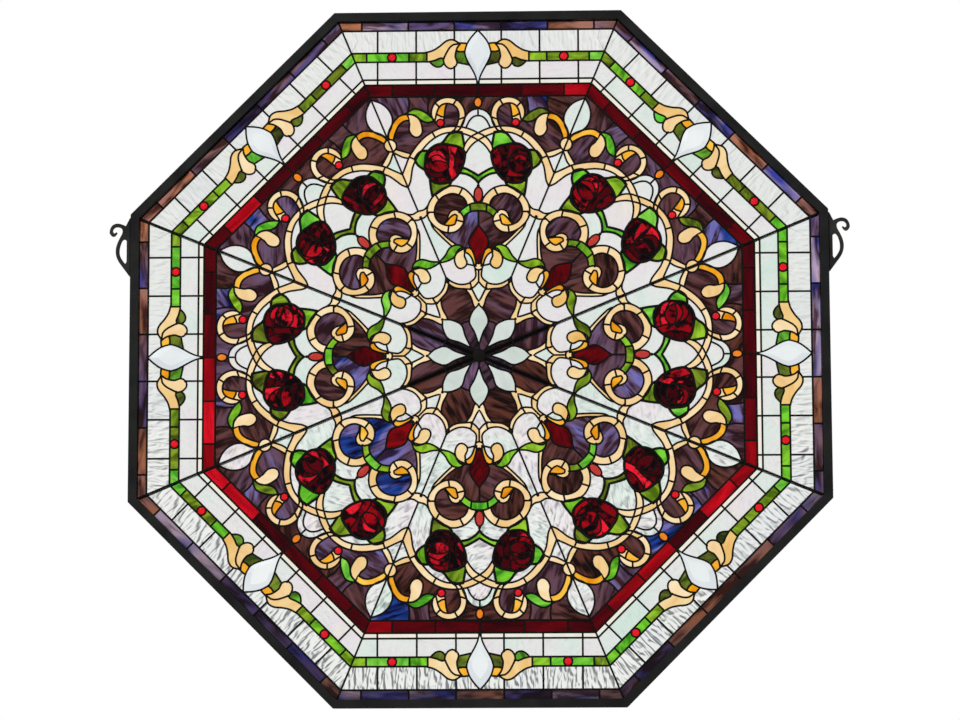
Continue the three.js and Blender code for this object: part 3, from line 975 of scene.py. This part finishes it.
def white_glass(name, most_painted_ripple_shade):
    """Milky glass with faint green and rose clouds, and ripples whose painted shade and highlight show in the
    lower part of the window.
    """
    finish = Finish(name, Roughness=0.3, IOR=1.2, Transmission_Weight=0.95)
    clouds = finish.noise(finish.stretched((8, 1, 8)), 2.2, detail=2)
    shade = finish.attribute("tone") * 0.5 + (clouds - 0.5) * 1.6 + 0.25
    pale = finish.ramp(
        shade,
        [(0.0, (220, 239, 229)), (0.3, (233, 241, 235)), (0.5, (240, 241, 238)), (0.8, (242, 234, 238)),
         (1.0, (246, 239, 230))],
    )
    # Painted shade: the ripples' painted shade and highlight grow stronger towards the bottom of the window
    low = finish.ranged(finish.axis(2), CENTRE, CENTRE - 0.22, 0.03, most_painted_ripple_shade)
    waves, ripple_painted_shade = finish.ripples((22, 1, 70), low, pale)
    return finish.coloured(ripple_painted_shade, waves, 0.3, 0.0006)


def metal(name, base, edge, rough, metallic, grain_scale=240, shine=0.2):
    """Dark metal with a faint mottle and slight unevenness."""
    finish = Finish(name, Metallic=metallic, Specular_IOR_Level=shine)
    mottle = finish.noise(finish.place(), 34, detail=5)
    fine = finish.noise(finish.place(), grain_scale, detail=3)
    finish.give("Roughness", fine * 0.25 + rough)
    return finish.coloured(finish.ramp(mottle, [(0.3, base), (0.75, edge)]), fine, 0.25, 0.0003)


def jewel_glass():
    finish = Finish("jewel_glass", Roughness=0.05, IOR=1.25, Transmission_Weight=1.0)
    shade = finish.ramp(
        finish.attribute("tone"),
        [(0.0, (232, 8, 30)), (0.3, (246, 138, 22)), (0.7, (190, 56, 46))],
        steps="CONSTANT",
    )
    cloud = finish.noise(finish.place(), 150, detail=2)
    dark = finish.ranged(cloud, 0.35, 0.7, 0.0, 0.35)
    return finish.coloured(finish.mix(dark, shade, linear((150, 20, 30))))


def clear_glass():
    finish = Finish("bevelled_clear_glass", Roughness=0.03, IOR=1.45, Transmission_Weight=1.0)
    cloud = finish.noise(finish.place(), 26, detail=1)
    # The tone is the painted shade of the bevel facets, from the clear flat middle to the greyest lower
    # facet, with random clouds
    shade = finish.attribute("tone") + (cloud - 0.5) * 0.8
    stops = [(0.0, (240, 244, 243)), (0.4, (226, 232, 234)), (1.0, (206, 213, 220))]
    return finish.coloured(finish.ramp(shade, stops))


def fade(first, last):
    return [(0.0, first), (1.0, last)]


# Ripples: the step at which their slope is taken, and the painted shade and highlight that colour their
# darker and lighter side
RIPPLE_STEP = (0.11, 0, 0.05)
RIPPLE_SHADE_CONTRAST = 5.0
RIPPLE_PAINTED_LIGHT_AND_SHADE = [
    (0.0, (138, 141, 143)), (0.3, (204, 206, 207)), (0.5, (244, 245, 245)), (0.65, (255, 255, 255)),
]
# The painted shade that the border darkens to at its lowest, and the painted shadow of the bars on dark glass
# with its reach in millimetres
BORDER_PAINTED_SHADE = (22, 14, 18)
BAR_PAINTED_SHADOW = (14, 8, 10)
BAR_CORE = 2.2
BAR_FADE = 7.0
BAR_SHADOW_STRENGTH = 0.85
# Colours: for each glass the dark and the light of its streaks, by the pane's tone
SHADES = {
    "border": (
        [(0.0, (66, 30, 20)), (0.3, (54, 32, 34)), (0.5, (40, 22, 26)), (0.75, (24, 16, 36)),
         (1.0, (86, 58, 72))],
        [(0.0, (180, 114, 82)), (0.3, (150, 110, 108)), (0.5, (98, 78, 118)), (0.75, (52, 62, 150)),
         (1.0, (196, 172, 192))],
    ),
    "ruby": (
        [(0.0, (32, 0, 5)), (0.65, (60, 0, 7)), (0.9, (124, 0, 10)), (1.0, (164, 0, 12))],
        [(0.0, (70, 0, 8)), (0.65, (108, 0, 10)), (0.9, (184, 3, 18)), (1.0, (236, 18, 42))],
    ),
    "strip": (fade((226, 228, 212), (236, 230, 212)), fade((240, 240, 230), (246, 240, 226))),
    "cream": (fade((234, 190, 122), (246, 212, 158)), fade((246, 212, 154), (254, 234, 196))),
    "pale_amber": (fade((228, 176, 90), (240, 204, 140)), fade((244, 204, 130), (250, 228, 182))),
    "amber": (fade((214, 120, 0), (246, 168, 18)), fade((250, 172, 20), (255, 208, 88))),
    "green": (
        [(0.0, (48, 54, 8)), (0.4, (78, 112, 12)), (0.8, (44, 128, 24)), (1.0, (64, 160, 36))],
        [(0.0, (120, 134, 34)), (0.4, (158, 204, 48)), (0.8, (116, 212, 48)), (1.0, (150, 222, 84))],
    ),
    "olive": (
        fade((30, 32, 12), (58, 84, 18)),
        [(0.0, (92, 94, 34)), (0.7, (126, 146, 48)), (1.0, (92, 208, 60))],
    ),
    "bud": (fade((26, 0, 4), (56, 0, 6)), fade((90, 0, 8), (138, 4, 12))),
    "rose": (
        fade((6, 0, 3), (26, 0, 5)),
        [(0.0, (60, 0, 8)), (0.4, (100, 0, 12)), (0.7, (164, 2, 18)), (1.0, (244, 30, 52))],
    ),
    "purple": (
        [(0.0, (22, 10, 10)), (0.3, (44, 20, 20)), (0.6, (40, 19, 28)), (0.82, (58, 30, 34)),
         (0.93, (44, 28, 56)), (1.0, (6, 8, 48))],
        [(0.0, (92, 50, 40)), (0.3, (98, 62, 64)), (0.6, (100, 72, 90)), (0.82, (110, 90, 126)),
         (0.93, (118, 112, 180)), (1.0, (32, 64, 148))],
    ),
    "diamond": (fade((196, 208, 201), (206, 214, 208)), fade((212, 222, 216), (222, 228, 224))),
    "spoke": (fade((18, 12, 18), (46, 32, 50)), fade((72, 46, 50), (128, 96, 132))),
}
# How each glass streaks: contrast, how fine along and across, scale, and how far the tone drifts in a pane
STREAKS = {
    "border": (4.6, (5, 1, 24), 2.2, 1.0),
    "ruby": (2.2, (5, 1, 30), 1.8),
    "rose": (6.5, (24, 1, 34), 1.6),
    "purple": (4.2, (8, 1, 40), 2.0, 1.1),
    "spoke": (4.0, (7, 1, 40), 2.0),
    "green": (2.4, (12, 1, 34), 2.0),
    "olive": (2.4, (12, 1, 34), 2.0),
    "bud": (2.4, (10, 1, 30), 2.0),
}
PLAIN_STREAKS = (1.8, (10, 1, 26), 2.0)


def numbered(name):
    """The names of a CAD node on each side."""
    return [f"{name}_{side + 1}" for side in range(SIDES)]


# The piece that the panes of each glass make, its slot, and the CAD nodes that it stands for
WHITE_BORDER = numbered("white_border_glass")
FIELD_GLASS = numbered("field_glass")
BOTH = [*WHITE_BORDER, *FIELD_GLASS]
PIECES = {
    "border": ("outer_border_panes", "border_glass", numbered("outer_border_glass")),
    "ripple": ("rippled_border_panes", "clear_glass", WHITE_BORDER),
    "milk": ("milky_border_panes", "white_glass", WHITE_BORDER),
    "white": ("white_panes", "white_glass", FIELD_GLASS),
    "strip": ("cream_strip_panes", "cream_glass", WHITE_BORDER),
    "ruby": ("ruby_border_panes", "ruby_glass", numbered("ruby_border_glass")),
    "cream": ("cream_panes", "cream_glass", BOTH),
    "pale_amber": ("flower_panes", "amber_glass", BOTH),
    "amber": ("amber_panes", "amber_glass", BOTH),
    "green": ("green_panes", "green_glass", BOTH),
    "olive": ("flower_leaf_panes", "green_glass", WHITE_BORDER),
    "bud": ("bud_panes", "ruby_glass", FIELD_GLASS),
    "rose": ("rose_panes", "rose_glass", FIELD_GLASS),
    "purple": ("purple_panes", "purple_glass", FIELD_GLASS),
    "spoke": ("spoke_panes", "purple_glass", FIELD_GLASS),
    "diamond": ("star_diamonds", "white_glass", numbered("star_diamond")),
}


def pane_material(name):
    if name == "ripple":
        return rippled_glass()
    if name == "milk":
        return white_glass("milky_glass", most_painted_ripple_shade=0.04)
    if name == "white":
        return white_glass("white_opal_glass", most_painted_ripple_shade=0.32)
    return glass(name, *SHADES[name], *STREAKS.get(name, PLAIN_STREAKS))


def build_window():
    draw = random.Random(SEED)
    points, panes, stretches, joints = cut_panes(all_lines())
    choose_glass(points, panes)
    kites = []
    groups = {}
    for pane in sorted(panes, key=lambda p: (round(p.middle.x, 1), round(p.middle.y, 1))):
        pane.tone = draw.random()
        pane.grain = draw.uniform(0, math.pi)
        name = pane.glass()
        if name == "purple" and pane.middle.length < STAR_REACH:
            pane.tone *= STAR_TONES
        if name in ("ripple", "border", "ruby"):
            pane.grain = -side_of(pane.middle) * TURN + draw.uniform(-BAND_SWAY, BAND_SWAY)
        if not pane.votes and is_kite(pane):
            kites.append(pane)
        elif not is_jewel(pane) and pane.middle.length > HUB:
            groups.setdefault(name, []).append(pane)
    make_kites(kites, points, clear_glass())
    for name, (piece, slot, nodes) in PIECES.items():
        make_panes(piece, groups[name], points, pane_material(name), slot, nodes)
    solder = metal("dark_solder", (8, 7, 6), (19, 17, 15), 0.42, 0.2, shine=0.1)
    for side in range(SIDES):
        near_lines = [(run, thick) for run, thick in stretches if side_of(run[len(run) // 2]) == side]
        near_joints = [spot for spot in joints if side_of(spot) == side]
        make_solder(f"solder_lines_{side + 1}", near_lines, near_joints, solder)
    make_puddles(solder)
    make_jewels(jewel_glass())


def is_kite(pane):
    return any((pane.middle - spot).length < KITE_NEAR for spot in everywhere([(0, KITE_MIDDLE)]))


def is_jewel(pane):
    """Whether the pane is the place of a jewel, and no ring of glass round one."""
    spots = everywhere([(x, z) for x, z, *_ in SIDE_JEWELS + HALF_JEWELS])
    return pane.area < JEWEL_AREA and any((pane.middle - spot).length < JEWEL_NEAR for spot in spots)


def dress_metal(node, material, width):
    """A CAD node kept, its edges broken by that width and its finish given."""
    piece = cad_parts[node]
    piece.data.materials.clear()
    piece.data.materials.append(material)
    weld = piece.modifiers.new("weld", "WELD")
    weld.merge_threshold = TOUCHING
    bevel = piece.modifiers.new("bevel", "BEVEL")
    bevel.width = width * MM
    bevel.segments = 2
    bevel.limit_method = "ANGLE"
    bevel.angle_limit = math.radians(30)


def build_metal():
    black = metal("black_frame", (13, 14, 13), (30, 32, 30), 0.4, 0.5)
    dress_metal("frame", black, 0.7)
    bar_black = metal("black_bar", (12, 12, 12), (24, 24, 23), 0.45, 0.5)
    for node in ("bar_long", "bar_short_right", "bar_short_left"):
        dress_metal(node, bar_black, 0.5)
    iron = metal("cast_iron", (24, 25, 24), (50, 51, 49), 0.38, 0.6, grain_scale=420)
    make_hanger("cast_hanger_right", 1, iron)
    make_hanger("cast_hanger_left", -1, iron)


# Camera, floor and light. The camera's place and angles are found from the eight corners of the frame.
LENS = 115.98
VIEW_FROM = Vector((0.118, -4.0, CENTRE - 0.51))
YAW, PITCH, ROLL = (math.radians(angle) for angle in (-1.67, 7.18, -0.21))
FLOOR_HEIGHT = -1.45
FLOOR_RADIUS = 2.6
# Lamps: place, power and size
LAMPS = [((-1.6, -2.4, 1.6), 18, 1.6), ((1.8, 2.2, 1.4), 12, 1.6)]


def build_camera():
    """The photograph's viewpoint."""
    data = bpy.data.cameras.new("camera")
    data.sensor_width = 36
    data.lens = LENS
    camera = linked("camera", data)
    ahead = Vector((math.sin(YAW) * math.cos(PITCH), math.cos(YAW) * math.cos(PITCH), math.sin(PITCH)))
    right = ahead.cross(Vector((0, 0, 1))).normalized()
    up = right.cross(ahead)
    right, up = right * math.cos(ROLL) + up * math.sin(ROLL), up * math.cos(ROLL) - right * math.sin(ROLL)
    turned = Matrix((right, up, -ahead)).transposed().to_4x4()
    camera.matrix_world = Matrix.Translation(VIEW_FROM) @ turned
    bpy.context.scene.camera = camera


def build_surroundings():
    world = bpy.data.worlds.new("pale_room")
    world.use_nodes = True
    background = world.node_tree.nodes["Background"]
    background.inputs["Color"].default_value = (1, 1, 1, 1)
    background.inputs["Strength"].default_value = 1.0
    bpy.context.scene.world = world
    bm = bmesh.new()
    low = Matrix.Translation((0, 0, FLOOR_HEIGHT))
    bmesh.ops.create_circle(bm, cap_ends=True, segments=64, radius=FLOOR_RADIUS, matrix=low)
    floor = linked("floor", from_bmesh(bm))
    finish = Finish("pale_floor", Roughness=0.9)
    cloud = finish.noise(finish.place(), 3)
    shade = finish.ramp(cloud, [(0.3, (226, 226, 224)), (0.7, (234, 234, 232))])
    floor.data.materials.append(finish.coloured(shade))
    for place, power, size in LAMPS:
        lamp = bpy.data.lights.new("soft_lamp", "AREA")
        lamp.energy = power
        lamp.size = size
        aim = (Vector((0, 0, CENTRE)) - Vector(place)).to_track_quat("-Z", "Y")
        linked("soft_lamp", lamp).matrix_world = Matrix.Translation(place) @ aim.to_matrix().to_4x4()
    bpy.context.scene.view_settings.view_transform = "Standard"


build_camera()
build_surroundings()
build_metal()
build_window()
